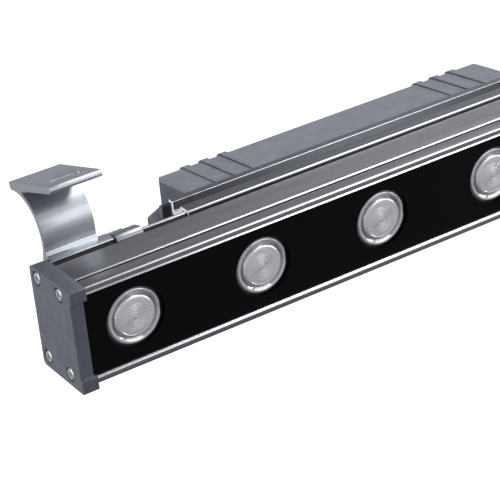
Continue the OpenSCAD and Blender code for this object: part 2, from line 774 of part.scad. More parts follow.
module driver_cover() color("#80848b") in_lamp() {
    difference() {
        union() {
            cover_block(0, cover_foot);
            cover_ridges();
        }
        difference() {
            cover_block(-cover_wall, cover_foot - over);
            for (p = boss_spots) translate([p[0], p[1], cover_foot])
                cylinder(cover_h, boss_r, boss_r, $fn = round_fn);
        }
        for (p = boss_spots) translate([p[0], p[1], cover_foot - over])
            cylinder(boss_hole_h, driver_shank_r, driver_shank_r, $fn = round_fn);
        for (x = rail_screw_spots) facing_rear(x, driver_y - over, rail_screw_z)
            cylinder(cover_wall + 2 * over, rail_shank_r + eps, rail_shank_r + eps, $fn = round_fn);
        for (x = [driver_x + cover_wall + over, driver_x + driver_len + over])
            facing_left(x, gland_y, gland_z)
                linear_extrude(cover_wall + 2 * over) gland_outline(eps - gland_step);
    }
}

// Outline of the base, with an ear at each end that tapers from the corners
module base_outline() {
    rear = driver_y + driver_depth + rear_draft;
    right = driver_x + driver_len;
    taper = ear_rear_in / 2;
    root = ear_front - ear_slant;
    polygon(rounded([
        [driver_x - ear_len, ear_front, ear_round], [driver_x, root, ear_root_r],
        [driver_x, driver_y, front_corner_r], [right, driver_y, front_corner_r],
        [right, root, ear_root_r], [right + ear_len, ear_front, ear_round],
        [right + ear_len, ear_rear, ear_round], [right - taper, rear, cover_corner_r],
        [driver_x + taper, rear, cover_corner_r], [driver_x - ear_len, ear_rear, ear_round]]));
}

module driver_base() color("#7a7e85") in_lamp() difference() {
    translate([0, 0, base_foot]) linear_extrude(base_h) base_outline();
    difference() {
        translate([driver_x + base_wall, driver_y + base_wall, base_foot + base_wall])
            cube([driver_len - 2 * base_wall, driver_depth - 2 * base_wall, base_h]);
        for (p = boss_spots) translate([p[0], p[1], base_foot])
            cylinder(base_h, boss_r + over, boss_r + over, $fn = round_fn);
        for (p = pcb_posts) translate([p[0], p[1], base_foot]) cylinder(base_h, post_r, post_r, $fn = round_fn);
    }
    shank_hole = driver_shank_r + 2 * seat_gap;
    head_hole = driver_head_r + 2 * seat_gap;
    for (p = boss_spots) translate([p[0], p[1], base_foot - over]) {
        cylinder(base_h + 2 * over, shank_hole, shank_hole, $fn = round_fn);
        cylinder(driver_head_h + 2 * over, head_hole, head_hole, $fn = round_fn);
    }
}

module driver_seal() color("#202124") in_lamp() translate([0, 0, base_top]) difference() {
    translate([driver_x + seal_inset, driver_y + seal_inset, 0]) linear_extrude(seal_t)
        polygon(rounded([
            [0, 0, front_corner_r], [driver_len - 2 * seal_inset, 0, front_corner_r],
            [driver_len - 2 * seal_inset, driver_depth - 2 * seal_inset, cover_corner_r],
            [0, driver_depth - 2 * seal_inset, cover_corner_r]]));
    difference() {
        translate([driver_x + base_wall, driver_y + base_wall, -over])
            cube([driver_len - 2 * base_wall, driver_depth - 2 * base_wall, seal_t + 2 * over]);
        for (p = boss_spots) translate([p[0], p[1], -over])
            cylinder(seal_t + 2 * over, boss_r, boss_r, $fn = round_fn);
    }
    for (p = boss_spots) translate([p[0], p[1], -over])
        cylinder(seal_t + 2 * over, driver_shank_r + seat_gap, driver_shank_r + seat_gap, $fn = round_fn);
}

driver_screw_len = base_h + seal_t + boss_hole_h / 2;
module driver_screws() color("#c9ccd0") in_lamp() for (p = boss_spots)
    translate([p[0], p[1], base_foot + driver_head_h + over]) rotate([180, 0, 0])
        pan_screw(driver_head_r, driver_head_h, driver_shank_r - eps, driver_screw_len, driver_head_r / 2);

pcb_x = driver_x + pcb_end_gap;
pcb_len = driver_len - 2 * pcb_end_gap;
pcb_y = driver_y + cover_wall + pcb_gap;
pcb_depth = driver_depth - 2 * cover_wall - 2 * pcb_gap;
pcb_z = base_top;
pcb_posts = [
    for (x = [pcb_x + post_r, pcb_x + pcb_len - post_r],
        y = [pcb_y + post_r, pcb_y + pcb_depth - post_r]) [x, y]];

module driver_board() color("#3f6b4a") in_lamp()
    translate([pcb_x, pcb_y, pcb_z]) cube([pcb_len, pcb_depth, pcb_t]);

// Transformer: two flanges on a narrower core, placed along and across the board by shares
transformer_place_share = [0.45, 0.3];
transformer_w = 28;
transformer_d = 20;
transformer_h = 17;
transformer_x = pcb_x + pcb_len * transformer_place_share[0];
transformer_y = pcb_y + pcb_depth * transformer_place_share[1];
module driver_transformer() color("#3a3631") in_lamp() translate([transformer_x, transformer_y, pcb_z + pcb_t]) {
    flange_t = transformer_h / 4;
    cube([transformer_w, transformer_d, flange_t]);
    translate([transformer_w / 4, 0, 0]) cube([transformer_w / 2, transformer_d, transformer_h]);
    translate([0, 0, transformer_h - flange_t]) cube([transformer_w, transformer_d, flange_t]);
}

capacitor_r = 5;
capacitor_h = 16;
capacitor_shares = [0.16, 0.24, 0.76];
module driver_capacitors() color("#2c3a5c") in_lamp() for (share = capacitor_shares)
    translate([pcb_x + pcb_len * share, pcb_y + pcb_depth / 2, pcb_z + pcb_t])
        cylinder(capacitor_h, capacitor_r, capacitor_r, $fn = round_fn);

// Upright outline of a flat gland, grown or shrunk all round
module gland_outline(grow) {
    r = gland_w / 2 + grow;
    straight = gland_h - gland_w;
    for (side = [-1, 1]) translate([side * straight / 2, 0]) circle(r, $fn = round_fn);
    square([straight, 2 * r], center = true);
}

// Ribbed flat gland with a blind end, its neck through the cover's wall
module flat_gland() {
    pitch = gland_len / gland_plates;
    facing_left(driver_x + cover_wall + over, gland_y, gland_z) difference() {
        union() {
            linear_extrude(over + cover_wall + gland_len - eps) gland_outline(-gland_step);
            for (i = [1:gland_plates])
                translate([0, 0, over + cover_wall + i * pitch - pitch * gland_plate_share])
                    linear_extrude(pitch * gland_plate_share) gland_outline(0);
        }
        translate([0, 0, -over])
            cylinder(2 * over + cover_wall + gland_len - gland_end_t, gland_bore_r, gland_bore_r,
                $fn = round_fn);
    }
}

module driver_left_gland() color("#3c4048") in_lamp() flat_gland();

module driver_right_gland() color("#3c4048") in_lamp()
    translate([2 * driver_x + driver_len, 0, 0]) mirror([1, 0, 0]) flat_gland();

// Curved arm, in the plane across the hinge
module arm_profile() {
    reach = 2 * arm_r;
    turn = (arm_foot_angle - arm_top_angle) / arm_sectors;
    intersection() {
        translate(arm_c) difference() {
            circle(arm_skin_r, $fn = 2 * lens_fn);
            circle(arm_r, $fn = 2 * lens_fn);
        }
        translate(arm_c) polygon([
            [0, 0], for (i = [0:arm_sectors]) let (a = arm_top_angle + i * turn) reach * [cos(a), sin(a)]]);
    }
}

// Plate, thicker over the arm, with a small fillet where the arm's front skin meets its underside
module plate_profile() {
    polygon(rounded([
        [plate_front, 0, plate_brow_r], [plate_rear, 0, plate_edge_r],
        [plate_rear, -plate_rear_t, plate_nose_r],
        [plate_rear - plate_len / 3, -plate_rear_t, 0], [plate_front, -plate_t, plate_nose_r]]));
    drop = -plate_rear_t - crotch_r;
    across = sqrt(pow(arm_skin_r + crotch_r, 2) - pow(drop - arm_c[1], 2));
    mid = [arm_c[0] - across, drop];
    touch = arm_c + (mid - arm_c) * arm_skin_r / (arm_skin_r + crotch_r);
    difference() {
        polygon([[mid[0], -plate_rear_t + eps], [touch[0] + crotch_r * 3, -plate_rear_t + eps], touch]);
        translate(mid) circle(crotch_r, $fn = round_fn);
    }
}

// Foot's front, from inside the arm over the ridge and the flare to the tip above the bead,
// written from the hinge's centre in shares of the bead's radius
foot_shares = [
    [2.3, 3.2, 0], [1.42, 2.81, 0.1], [1.24, 1.82, 0.18], [-0.985, 1.08, 0.15], [-0.91, 0.88, 0], [0, 0, 0]];

module foot_profile() {
    front = [for (p = foot_shares) [for (v = p) v * bead_r]];
    jaw_end = jaw_r + jaw_wall;
    translate(hinge) polygon(rounded(concat(front, [
        [jaw_end * cos(rear_jaw_angle), jaw_end * sin(rear_jaw_angle), fine_r],
        [foot_rear - foot_lean, -foot_under, foot_nose_r],
        [foot_rear, foot_rear_z, foot_nose_r / 2], [foot_top_rear, foot_top, fine_r]])));
}

module foot_section() {
    difference() {
        foot_profile();
        translate(hinge) circle(jaw_r, $fn = lens_fn);
    }
}

// The foot beside the arm, cut level with its flat top
module low_foot_section() {
    intersection() {
        foot_section();
        translate([hinge[0] - foot_rear, hinge[1] - foot_rear]) square([2 * foot_rear, foot_rear + foot_top]);
    }
}

module bracket() {
    slot_x = bracket_w / 2;
    slot_reach = slot_len / 2 - slot_r;
    difference() {
        union() {
            along_x(0, bracket_w) difference() {
                union() {
                    plate_profile();
                    arm_profile();
                }
                translate(hinge) circle(jaw_r, $fn = lens_fn);
            }
            along_x(0, bracket_w) foot_section();
            along_x(bracket_w - eps, foot_len - bracket_w + eps) low_foot_section();
            along_x(foot_len - eps, tongue_len - foot_len + eps) difference() {
                low_foot_section();
                translate([hinge[0] - foot_rear, hinge[1] + clamp_under - seat_gap])
                    square([2 * foot_rear - tongue_wall, foot_rear]);
                translate([hinge[0] - foot_rear, hinge[1]]) square([foot_rear, foot_rear]);
            }
        }
        translate([slot_x, 0, -plate_rear_t - over]) linear_extrude(plate_rear_t + 2 * over) {
            for (side = [-1, 1]) translate([side * slot_reach, 0]) circle(slot_r, $fn = round_fn);
            translate([-slot_reach, -slot_r]) square([2 * slot_reach, 2 * slot_r]);
        }
        translate([clamp_screw_x, hinge[0] + clamp_screw_y, hinge[1] - foot_rear]) {
            cylinder(2 * foot_rear, clamp_shank_r + seat_gap, clamp_shank_r + seat_gap, $fn = round_fn);
            cylinder(foot_rear + clamp_head_z, clamp_head_r + seat_gap, clamp_head_r + seat_gap,
                $fn = round_fn);
        }
    }
}

module left_bracket() color("#a9adb2") at_left() bracket();

module right_bracket() color("#a9adb2") at_right() bracket();

// Front jaw: it closes over the bead from the tongue, with a lip that reaches under the bead's front
module clamp() {
    difference() {
        along_x(foot_len + clamp_from_foot, clamp_w) translate(hinge) difference() {
            polygon(rounded([
                [clamp_rear, clamp_rear_z, fine_r], [clamp_top_rear, clamp_top, fine_r],
                [-clamp_front, clamp_top, clamp_brow_r], [-clamp_lip_y, -clamp_lip_drop, fine_r], [0, 0, 0],
                [0, clamp_under, 0], [clamp_rear, clamp_under, fine_r]]));
            circle(jaw_r, $fn = lens_fn);
        }
        translate([clamp_screw_x, hinge[0] + clamp_screw_y, hinge[1]])
            cylinder(clamp_hole_z, clamp_shank_r, clamp_shank_r, $fn = round_fn);
    }
}

module left_clamp() color("#8f9398") at_left() clamp();

module right_clamp() color("#8f9398") at_right() clamp();

module clamp_screw() {
    length = clamp_hole_z - clamp_head_z - eps;
    translate([clamp_screw_x, hinge[0] + clamp_screw_y, hinge[1] + clamp_head_z]) rotate([180, 0, 0])
        pan_screw(clamp_head_r, clamp_head_h, clamp_shank_r - eps, length, clamp_head_r / 2);
}

module clamp_screws() color("#c9ccd0") {
    at_left() clamp_screw();
    at_right() clamp_screw();
}

housing();
left_end_cap();
right_end_cap();
left_cap_gasket();
right_cap_gasket();
cap_screws();
front_panel();
panel_gasket();
led_board();
leds();
board_screws();
board_terminal();
lens_holders();
for (i = [1:lens_count]) lens(i);
feed_gland();
feed_gland_nut();
driver_rail();
rail_screws();
driver_cover();
driver_base();
driver_seal();
driver_board();
driver_transformer();
driver_capacitors();
driver_screws();
driver_left_gland();
driver_right_gland();
left_bracket();
right_bracket();
left_clamp();
right_clamp();
clamp_screws();
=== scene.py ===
# Outdoor wall washer light: finishes, turned lenses, softened edges and a small white studio.
import json
import math

import bpy
from mathutils import Matrix, Vector


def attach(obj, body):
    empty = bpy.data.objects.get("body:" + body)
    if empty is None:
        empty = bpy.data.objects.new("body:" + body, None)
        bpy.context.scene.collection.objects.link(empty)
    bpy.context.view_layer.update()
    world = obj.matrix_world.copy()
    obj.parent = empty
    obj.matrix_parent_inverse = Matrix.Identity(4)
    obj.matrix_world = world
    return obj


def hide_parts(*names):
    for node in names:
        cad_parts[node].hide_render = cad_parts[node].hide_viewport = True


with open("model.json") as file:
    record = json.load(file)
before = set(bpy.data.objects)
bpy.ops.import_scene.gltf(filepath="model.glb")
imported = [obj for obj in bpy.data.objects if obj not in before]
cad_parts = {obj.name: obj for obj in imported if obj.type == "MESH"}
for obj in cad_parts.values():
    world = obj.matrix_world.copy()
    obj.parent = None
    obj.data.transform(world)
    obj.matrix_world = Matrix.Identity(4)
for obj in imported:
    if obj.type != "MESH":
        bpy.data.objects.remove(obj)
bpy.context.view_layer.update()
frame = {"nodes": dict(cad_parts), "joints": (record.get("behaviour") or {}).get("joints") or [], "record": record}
cadNodes = frame["nodes"]
mm = 0.001
print("frame loaded:", len(cadNodes), "nodes")

bodyOf = {}
for bodyName, members in frame["record"]["behaviour"]["bodies"].items():
    for member in members:
        bodyOf[member] = bodyName
slotOf = {part["node"]: part["material_slot"] for part in frame["record"]["subparts"]}


# camera at the photograph's angle, in the row's frame
camera = {
    "place": (-0.6457, -0.9841, 0.1966),
    "right": (0.82948, -0.50564, -0.23729),
    "up": (0.32391, 0.08935, 0.94186),
    "lens": 143.8,
    "sensor": 36,
}


def addCamera():
    right = Vector(camera["right"]).normalized()
    up = Vector(camera["up"]).normalized()
    back = right.cross(up)
    turn = Matrix((right, up, back)).transposed().to_4x4()
    bpy.ops.object.camera_add()
    shot = bpy.context.object
    shot.name = "photoCamera"
    shot.matrix_world = Matrix.Translation(camera["place"]) @ turn
    shot.data.lens = camera["lens"]
    shot.data.sensor_width = camera["sensor"]
    shot.data.clip_end = 50
    bpy.context.scene.camera = shot


addCamera()
print("camera placed")


# the lamp's own frame: Y back from its front, Z up from the caps' foot, all in millimetres
lamp = {
    "length": 500,
    "tilt": 16.2,
    "beadBack": 39.4,
    "beadUp": 60.96,
    "hinge": frame["joints"][0]["pos_m"],
    "lensCount": 6,
    "lensPitch": 84.5,
    "lensUp": 33.8,
    "boardFront": 18.4,
}


def lampPlace(x, y, z):
    # matrix from a turned piece's own axis, +Z, to a place on the lamp, facing its lit front
    hang = Matrix.Translation(lamp["hinge"]) @ Matrix.Rotation(math.radians(lamp["tilt"]), 4, "X")
    spot = Vector((x - lamp["length"] / 2, y - lamp["beadBack"], z - lamp["beadUp"])) * mm
    return hang @ Matrix.Translation(spot) @ Matrix.Rotation(math.pi / 2, 4, "X")


# colours and node helpers
def hexColor(code):
    def linear(part):
        value = int(part, 16) / 255
        return value / 12.92 if value <= 0.04045 else ((value + 0.055) / 1.055) ** 2.4
    code = code.lstrip("#")
    return (*[linear(code[i:i + 2]) for i in (0, 2, 4)], 1)


def addNode(tree, kind, links=None, values=None, **settings):
    node = tree.nodes.new(kind)
    for key, value in settings.items():
        setattr(node, key, value)
    for key, value in (values or {}).items():
        node.inputs[key].default_value = value
    for key, source in (links or {}).items():
        tree.links.new(source, node.inputs[key])
    return node


def newMaterial(name, base, roughness, metallic=0.0, **sockets):
    material = bpy.data.materials.new(name)
    material.use_nodes = True
    tree = material.node_tree
    tree.nodes.clear()
    shader = addNode(tree, "ShaderNodeBsdfPrincipled", values={
        "Base Color": hexColor(base), "Roughness": roughness, "Metallic": metallic})
    for key, value in sockets.items():
        shader.inputs[key.replace("_", " ")].default_value = value
    addNode(tree, "ShaderNodeOutputMaterial", links={"Surface": shader.outputs["BSDF"]})
    return material, tree, shader


# grain sizes in millimetres; a real one that is noted is too fine to show and is drawn as coarse as it has to be
grain = {
    "dieLine": 0.35,        # real die lines are under 0.1 apart
    "dieLineStretch": 700,
    "coatCloud": 9,
    "coatGrain": 0.45,      # real powder grain is about 0.1
    "mouldCloud": 6,
    "sparkGrain": 0.3,      # real spark erosion is about 0.05
    "smear": 1.2,
    "acrylicHaze": 1.1,
}


def patternNoise(tree, size, stretch=(1, 1, 1), detail=2.0):
    # noise whose grain is size millimetres across, stretched along an axis where stretch is over 1
    coords = addNode(tree, "ShaderNodeTexCoord")
    scale = [1 / (size * mm * s) for s in stretch]
    spread = addNode(tree, "ShaderNodeMapping", links={"Vector": coords.outputs["Object"]}, values={"Scale": scale})
    return addNode(tree, "ShaderNodeTexNoise", links={"Vector": spread.outputs["Vector"]},
                   values={"Scale": 1.0, "Detail": detail, "Roughness": 0.55})


def rampBetween(tree, source, low, high):
    # noise stays near its middle, so the ramp runs from 0.3 to 0.7 of it
    ramp = addNode(tree, "ShaderNodeValToRGB", links={"Fac": source})
    first, last = ramp.color_ramp.elements
    first.position, first.color = 0.3, low
    last.position, last.color = 0.7, high
    return ramp.outputs["Color"]


def addBump(tree, shader, source, strength, depth):
    bump = addNode(tree, "ShaderNodeBump", links={"Height": source},
                   values={"Strength": strength, "Distance": depth * mm})
    tree.links.new(bump.outputs["Normal"], shader.inputs["Normal"])


def grey(value):
    return (value, value, value, 1)


def extrudedFinish(name, dark, light, roughness, lineDepth=0.02):
    # Anodised aluminium extrusion: fine die lines run along it and break its reflections into long streaks
    material, tree, shader = newMaterial(name, light, roughness, 1.0)
    lines = patternNoise(tree, grain["dieLine"], (grain["dieLineStretch"], 1, 1))
    tint = rampBetween(tree, lines.outputs["Fac"], hexColor(dark), hexColor(light))
    tree.links.new(tint, shader.inputs["Base Color"])
    wear = rampBetween(tree, lines.outputs["Fac"], grey(roughness * 0.85), grey(roughness * 1.2))
    tree.links.new(wear, shader.inputs["Roughness"])
    if lineDepth:
        addBump(tree, shader, lines.outputs["Fac"], 0.12, lineDepth)
    return material


def powderFinish(name, dark, light, roughness):
    # Powder coat on aluminium: a matt, faintly grainy skin with a low sheen, and no mirror reflections
    material, tree, shader = newMaterial(name, light, roughness)
    cloud = patternNoise(tree, grain["coatCloud"])
    tint = rampBetween(tree, cloud.outputs["Fac"], hexColor(dark), hexColor(light))
    tree.links.new(tint, shader.inputs["Base Color"])
    peel = patternNoise(tree, grain["coatGrain"], detail=3.0)
    addBump(tree, shader, peel.outputs["Fac"], 0.25, 0.04)
    return material


def mouldedFinish(name, dark, light, roughness, **sockets):
    # Moulded plastic or rubber: one colour with slow clouding and a fine spark-eroded grain
    material, tree, shader = newMaterial(name, light, roughness, 0.0, **sockets)
    cloud = patternNoise(tree, grain["mouldCloud"])
    tint = rampBetween(tree, cloud.outputs["Fac"], hexColor(dark), hexColor(light))
    tree.links.new(tint, shader.inputs["Base Color"])
    spark = patternNoise(tree, grain["sparkGrain"], detail=3.0)
    addBump(tree, shader, spark.outputs["Fac"], 0.15, 0.02)
    return material


def bareMetal(name, dark, light, roughness):
    # Bare polished metal: small smears of roughness across a bright surface
    material, tree, shader = newMaterial(name, light, roughness, 1.0)
    smear = patternNoise(tree, grain["smear"], detail=4.0)
    tint = rampBetween(tree, smear.outputs["Fac"], hexColor(dark), hexColor(light))
    tree.links.new(tint, shader.inputs["Base Color"])
    wear = rampBetween(tree, smear.outputs["Fac"], grey(roughness * 0.7), grey(roughness * 1.4))
    tree.links.new(wear, shader.inputs["Roughness"])
    return material


finishes = {
    "extrusion": extrudedFinish("greyAnodisedExtrusion", "#8b8b8f", "#adacb1", 0.38),
    "end_cap": powderFinish("blueGreyPowderCoat", "#575963", "#61636d", 0.4),
    "rail": extrudedFinish("railAnodisedExtrusion", "#7f8186", "#97999e", 0.34),
    "bracket": extrudedFinish("satinAnodisedExtrusion", "#b2b6bb", "#bfc3c8", 0.36),
    "clamp": extrudedFinish("clampAnodisedExtrusion", "#8c8e93", "#a6a8ac", 0.34),
    "driver_case": powderFinish("greyPowderCoatedCasting", "#777a81", "#83868e", 0.44),
    "black_panel": mouldedFinish("deepBlackPolycarbonate", "#050506", "#070708", 0.35, Specular_IOR_Level=0.12),
    "black_plastic": mouldedFinish("blackAbs", "#1c1c1e", "#252527", 0.4),
    "dark_plastic": mouldedFinish("darkGreyPolyamide", "#5a5e66", "#6a6e76", 0.36),
    "white_plastic": mouldedFinish("whitePolyamide", "#d5d5d0", "#e4e4df", 0.4),
    "white_board": mouldedFinish("whiteSolderMask", "#dadad6", "#e9e9e5", 0.35),
    "green_board": mouldedFinish("greenSolderMask", "#1f4a2c", "#2a5c38", 0.35),
    "emitter": mouldedFinish("yellowPhosphor", "#d8c255", "#eadc7d", 0.3),
    "ferrite": mouldedFinish("darkFerrite", "#1d1b1a", "#292726", 0.6),
    "capacitor_sleeve": mouldedFinish("shrinkSleevePvc", "#141a3a", "#1d2550", 0.3),
    "rubber": mouldedFinish("blackSiliconeRubber", "#121213", "#1a1a1c", 0.6),
    "steel": bareMetal("polishedStainlessSteel", "#dedbd5", "#f6f3ee", 0.24),
}
# A saw leaves the metal matt, so this end is drawn with the matt skin, without reflections; its near-white colour,
# pale from every side, is partly painted highlight
sawnEndAndHighlight = powderFinish("sawnAluminiumWithPaintedHighlight", "#eef0f2", "#ffffff", 0.5)
# The driver's own powder coat, drawn darker than on its top, because the photo's driver end stands in shade
shadedEndWallCoat = powderFinish("shadedDriverEndCoat", "#494c55", "#555963", 0.5)
# The extrusion's rounded edges get a painted highlight: a near-white, smoother skin, so that each carries an
# unbroken white line
paintedHighlightEdge = extrudedFinish("paintedHighlightDieEdge", "#e6e7ea", "#f6f6f8", 0.28, lineDepth=0)
# Painted shade: the anodised walls down in a groove and the bead's lower side, drawn dull and nearly black where
# shade falls on them
grooveShade = mouldedFinish("paintedShadeGrooveWall", "#1b1c1e", "#26272a", 0.7)


def opticAcrylic(name, roughness, metallic, low, high):
    # Moulded acrylic optic: total reflection inside it turns the room back, so it reads as bright glassy silver
    material, tree, shader = newMaterial(name, high, roughness, metallic, Coat_Weight=1.0, Coat_Roughness=0.05)
    haze = patternNoise(tree, grain["acrylicHaze"], detail=3.0)
    tint = rampBetween(tree, haze.outputs["Fac"], hexColor(low), hexColor(high))
    tree.links.new(tint, shader.inputs["Base Color"])
    return material


finishes["lens"] = opticAcrylic("mouldedAcrylicRim", 0.12, 0.5, "#d3d2d6", "#efeef2")
frostedDisc = opticAcrylic("frostedAcrylicDisc", 0.25, 0.6, "#f2f1f3", "#ffffff")
clearGroove = opticAcrylic("clearAcrylicGroove", 0.12, 0.5, "#a9a9ad", "#c4c4c8")
print("finishes made for", len(finishes), "slots, and 6 more for chosen faces")

for nodeName, slotName in slotOf.items():
    skins = cadNodes[nodeName].data.materials
    skins.clear()
    skins.append(finishes[slotName])


# edges that the tools and the coating leave soft
softEdges = {
    "left_end_cap": 0.5,
    "right_end_cap": 0.5,
    "left_bracket": 0.25,
    "right_bracket": 0.25,
    "left_clamp": 0.2,
    "right_clamp": 0.2,
    "driver_cover": 0.35,
    "driver_base": 0.7,
    "driver_rail": 0.45,
    "housing": 0.12,
}
bevelWork = {
    "segments": 3,
    "sharpOver": 32,        # degrees: only edges sharper than this are softened
    "mergeWithin": 0.002,   # the CAD copy's loose triangles are joined first
    "flatWithin": 0.6,      # degrees: nearly flat neighbours become one face
}


def softenNode(nodeName, width):
    bpy.ops.object.select_all(action="DESELECT")
    source = cadNodes[nodeName]
    piece = source.copy()
    piece.data = source.data.copy()
    piece.name = nodeName + "Soft"
    for key in list(piece.keys()):
        del piece[key]
    piece.parent = None
    bpy.context.scene.collection.objects.link(piece)
    piece.select_set(True)
    bpy.context.view_layer.objects.active = piece
    bpy.ops.object.mode_set(mode="EDIT")
    bpy.ops.mesh.select_all(action="SELECT")
    bpy.ops.mesh.remove_doubles(threshold=bevelWork["mergeWithin"] * mm)
    bpy.ops.mesh.customdata_custom_splitnormals_clear()
    bpy.ops.mesh.dissolve_limited(angle_limit=math.radians(bevelWork["flatWithin"]))
    bpy.ops.object.mode_set(mode="OBJECT")
    bevel = piece.modifiers.new("softEdge", "BEVEL")
    bevel.width = width * mm
    bevel.segments = bevelWork["segments"]
    bevel.limit_method = "ANGLE"
    bevel.angle_limit = math.radians(bevelWork["sharpOver"])
    bevel.harden_normals = False
    bpy.ops.object.modifier_apply(modifier="softEdge")
    bpy.ops.object.shade_smooth_by_angle(angle=math.radians(bevelWork["sharpOver"]))
    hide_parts(nodeName)
    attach(piece, bodyOf[nodeName])
    return piece


softPieces = {nodeName: softenNode(nodeName, width) for nodeName, width in softEdges.items()}
print("edges softened:", len(softEdges))


# skins put on chosen faces: painted shade, painted highlights, and the rail's pale sawn ends
toLamp = (Matrix.Translation(lamp["hinge"]) @ Matrix.Rotation(math.radians(lamp["tilt"]), 4, "X")).inverted()


def acrossLamp(face):
    # tilt of a face, 0 facing front and 90 facing up, with its place back and up across the lamp in millimetres
    normal = toLamp.to_3x3() @ face.normal
    spot = toLamp @ face.center
    tilt = math.degrees(math.atan2(normal.z, -normal.y))
    return tilt, spot.y / mm + lamp["beadBack"], spot.z / mm + lamp["beadUp"]


def paintFaces(piece, skin, chosen):
    piece.data.materials.append(skin)
    slot = len(piece.data.materials) - 1
    for face in piece.data.polygons:
        if chosen(face):
            face.material_index = slot


# where the extrusion's painted highlights and painted shade are: heights and places back in millimetres, tilts in
# degrees
section = {
    "roof": 59.0,
    "lipBack": 2.2,
    "lipTilts": (24, 56),
    "floorTop": 9.0,
    "floorTilts": (22, 80),
    "grooveFront": 9.4,
    "grooveBack": 13.0,
    "grooveTilts": (38, 74),
    "grooveRim": 63.5,
    "grooveWallTilt": 88,       # the groove's rear wall and its floor lie over this
    "beadFront": 33.5,
    "beadCrownFront": 35.5,
    "beadBack": 42.5,
    "beadFoot": 55.0,
    "beadTilts": (60, 124),
    "beadRearTilt": 176,
    "railTilts": (20, 70),
    "railEdgeArea": 400,        # square millimetres: the rail's wide flats are larger than this
    "shadedEndFacing": 0.7,          # how far along the lamp an end wall's normal points
    "sawnEndAndHighlight": 0.98,
}


def isBetween(value, limits):
    return limits[0] < value < limits[1]


# faces that get the painted highlight along the extrusion's rounded edges, chosen by tilt and place
def isPaintedHighlightDieEdge(face):
    tilt, back, up = acrossLamp(face)
    if up < section["floorTop"] and back < section["lipBack"]:
        return isBetween(tilt, section["floorTilts"])
    if up < section["roof"]:
        return False
    if back < section["lipBack"]:
        return isBetween(tilt, section["lipTilts"])
    if isBetween(back, (section["grooveFront"], section["grooveBack"])):
        return isBetween(tilt, section["grooveTilts"])
    onCrown = isBetween(back, (section["beadCrownFront"], section["beadBack"]))
    return onCrown and isBetween(tilt, section["beadTilts"])


# faces that get the painted shade: down in the top groove and on the bead's lower front and rear
def isPaintedShadeGrooveFace(face):
    tilt, back, up = acrossLamp(face)
    if up > section["roof"] and isBetween(back, (section["grooveFront"], section["grooveBack"])):
        sunk = up < section["grooveRim"] and tilt > section["grooveWallTilt"]
        return tilt < section["grooveTilts"][0] or sunk
    if up > section["beadFoot"] and isBetween(back, (section["beadFront"], section["beadBack"])):
        return tilt < section["beadTilts"][0] or tilt > section["beadRearTilt"]
    return False


# the rail's small faces tilted up to the front get the painted highlight
def isPaintedHighlightRailEdge(face):
    return isBetween(acrossLamp(face)[0], section["railTilts"]) and face.area < section["railEdgeArea"] * mm * mm


# painted shade in the top groove and on the bead's lower side
paintFaces(softPieces["housing"], grooveShade, isPaintedShadeGrooveFace)
# painted highlight on the extrusion's rounded edges
paintFaces(softPieces["housing"], paintedHighlightEdge, isPaintedHighlightDieEdge)
# painted shade on both end walls of the driver's cover and base
for nodeName in ("driver_cover", "driver_base"):
    paintFaces(softPieces[nodeName], shadedEndWallCoat, lambda face: abs(face.normal.x) > section["shadedEndFacing"])
# the rail's sawn ends, matt, with a near-white colour that is partly painted highlight
paintFaces(softPieces["driver_rail"], sawnEndAndHighlight, lambda face: abs(face.normal.x) > section["sawnEndAndHighlight"])
# painted highlight on the rail's edges
paintFaces(softPieces["driver_rail"], paintedHighlightEdge, isPaintedHighlightRailEdge)
print("faces painted")


# turned pieces: a disc is raised and scaled ring by ring, as on a lathe
def turned(name, stations, sides=96):
    radius, height = stations[0]
    bpy.ops.object.select_all(action="DESELECT")
    bpy.ops.mesh.primitive_circle_add(vertices=sides, radius=radius * mm, fill_type="NGON",
                                      location=(0, 0, height * mm))
    piece = bpy.context.object
    piece.name = name
    bpy.ops.object.transform_apply(location=True, rotation=False, scale=False)
    bpy.ops.object.mode_set(mode="EDIT")
    bpy.ops.mesh.select_mode(type="FACE")
    bpy.ops.mesh.select_all(action="SELECT")
    for nextRadius, nextHeight in stations[1:]:
        bpy.ops.mesh.extrude_region_move(
            TRANSFORM_OT_translate={"value": (0, 0, (nextHeight - height) * mm)})
        grow = nextRadius / radius
        bpy.ops.transform.resize(value=(grow, grow, 1), center_override=(0, 0, 0))
        radius, height = nextRadius, nextHeight
    bpy.ops.mesh.select_all(action="SELECT")
    bpy.ops.mesh.normals_make_consistent(inside=False)
    bpy.ops.object.mode_set(mode="OBJECT")
    return piece


# radii and heights from the lens's foot: flank, ridged rim, groove and domed disc
lens = {
    "neckRadius": 6.5,
    "neckFoot": 0.6,
    "bulgeRadius": 12.6,
    "flankRadius": 15.9,
    "flankSteps": 8,
    "rimRadius": 17.5,
    "rimFoot": 13.6,
    "rimWall": 0.3,
    "rimTop": 15.4,
    "rimSlope": 1.15,
    "rimEdge": 0.15,
    "rimSteps": ((0.12, 0.1604), (0.5, 0.51), (0.8, 0.786)),    # shares of the slope in, and of the height up
    "ridgeRadius": 15.6,
    "ridgeDrop": 0.06,
    "grooveRadius": 13.5,
    "grooveUp": 14.2,
    "grooveSteps": 6,
    "grooveSweep": 1.3,         # over 1 bends the ridge's inner slope outwards
    "discRadius": 13.1,
    "discTop": 16.2,
    "discDome": 0.25,
    "discShoulder": 2.2,
    "shoulderAngles": range(0, 85, 12),
    "ringPitch": 1.0,           # real optic rings are finer; these are as coarse as they need to show
    "ringDepth": 0.2,
    "centreRadius": 0.9,
    "flat": 15.8,
    "smoothUnder": 40,
    "discEdge": 12.75,          # the frosted finish ends here
    "grooveEdge": 14.4,         # and the clear groove's here
}


